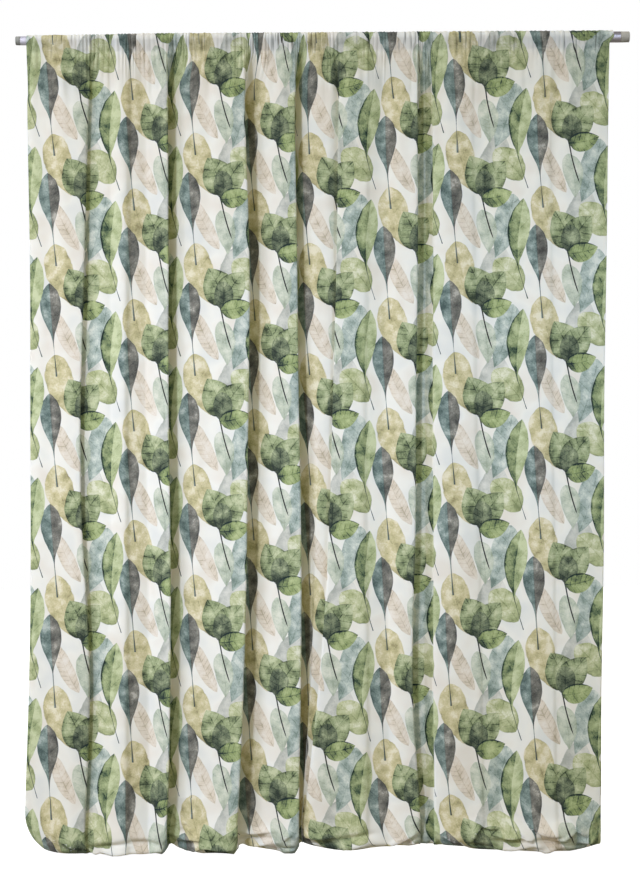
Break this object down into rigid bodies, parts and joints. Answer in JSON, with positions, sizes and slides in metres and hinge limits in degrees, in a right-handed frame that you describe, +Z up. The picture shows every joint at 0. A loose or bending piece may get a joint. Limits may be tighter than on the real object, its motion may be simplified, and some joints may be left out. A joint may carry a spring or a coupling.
{
  "type": "rod-pocket window curtain with its telescopic rod",
  "caption": "Printed window curtain gathered by its rod pocket on a straight telescopic rod with end caps, hanging to the floor in uneven folds and breaking on it.",
  "frame": {"origin": "middle of the rod's axis, which is where the supports of the rod hold the whole part", "axes": "+Z up, +X to the right along the rod, -Y to the front (the printed face)"},
  "size_m": [1.8, 0.127, 2.4171],
  "materials": {
    "printed_cloth": "matt off-white woven cloth printed with green, blue-grey and straw watercolour leaves",
    "thin_tube_metal": "satin plated steel",
    "wide_tube_metal": "satin plated steel",
    "left_cap_plastic": "matt grey-green plastic",
    "right_cap_plastic": "matt beige-grey plastic"
  },
  "bodies": {
    "root": {"curtain": "printed_cloth", "rod_thin_tube": "thin_tube_metal", "rod_wide_tube": "wide_tube_metal", "end_cap_left": "left_cap_plastic", "end_cap_right": "right_cap_plastic"}
  },
  "joints": []
}
